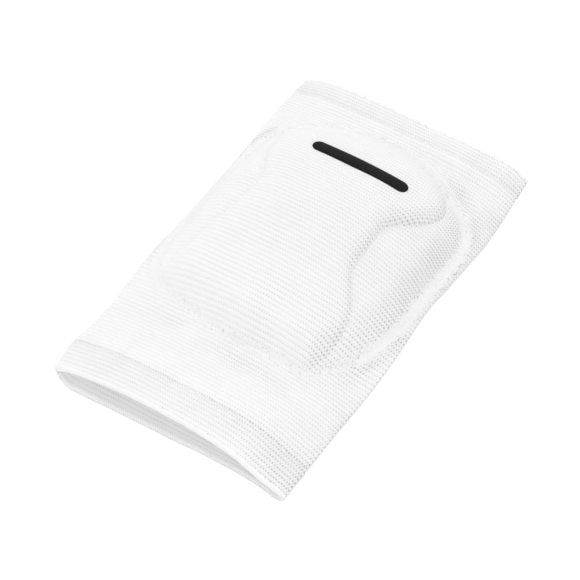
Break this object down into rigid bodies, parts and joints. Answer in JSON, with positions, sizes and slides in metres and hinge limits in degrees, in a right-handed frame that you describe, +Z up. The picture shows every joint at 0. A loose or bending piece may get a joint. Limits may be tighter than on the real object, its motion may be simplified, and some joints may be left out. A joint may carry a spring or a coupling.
{
  "type": "pull-on sports knee pad",
  "caption": "Pull-on knit knee pad lying flat: open tube sleeve with hemmed ends, hourglass front cushion and leaf-shaped side cushions.",
  "frame": {"origin": "bottom centre of the bounding box, on the surface that the back of the tube lies on", "axes": "+X across toward the wearer-side fold on the right of the picture, +Y along the tube from the open lower mouth to the upper hem, +Z up out of the front cushion"},
  "size_m": [0.1316, 0.2238, 0.038],
  "materials": {
    "knit": "white elastic rib knit with rows of small open stitches",
    "hem_knit": "white elastic knit folded double and stitched",
    "embroidery_thread": "black satin stitch"
  },
  "bodies": {
    "root": {"sleeve": "knit", "lower_hem": "hem_knit", "upper_hem": "hem_knit", "centre_cushion": "knit", "left_wing_cushion": "knit", "right_wing_cushion": "knit", "embroidered_bar": "embroidery_thread"}
  },
  "joints": []
}
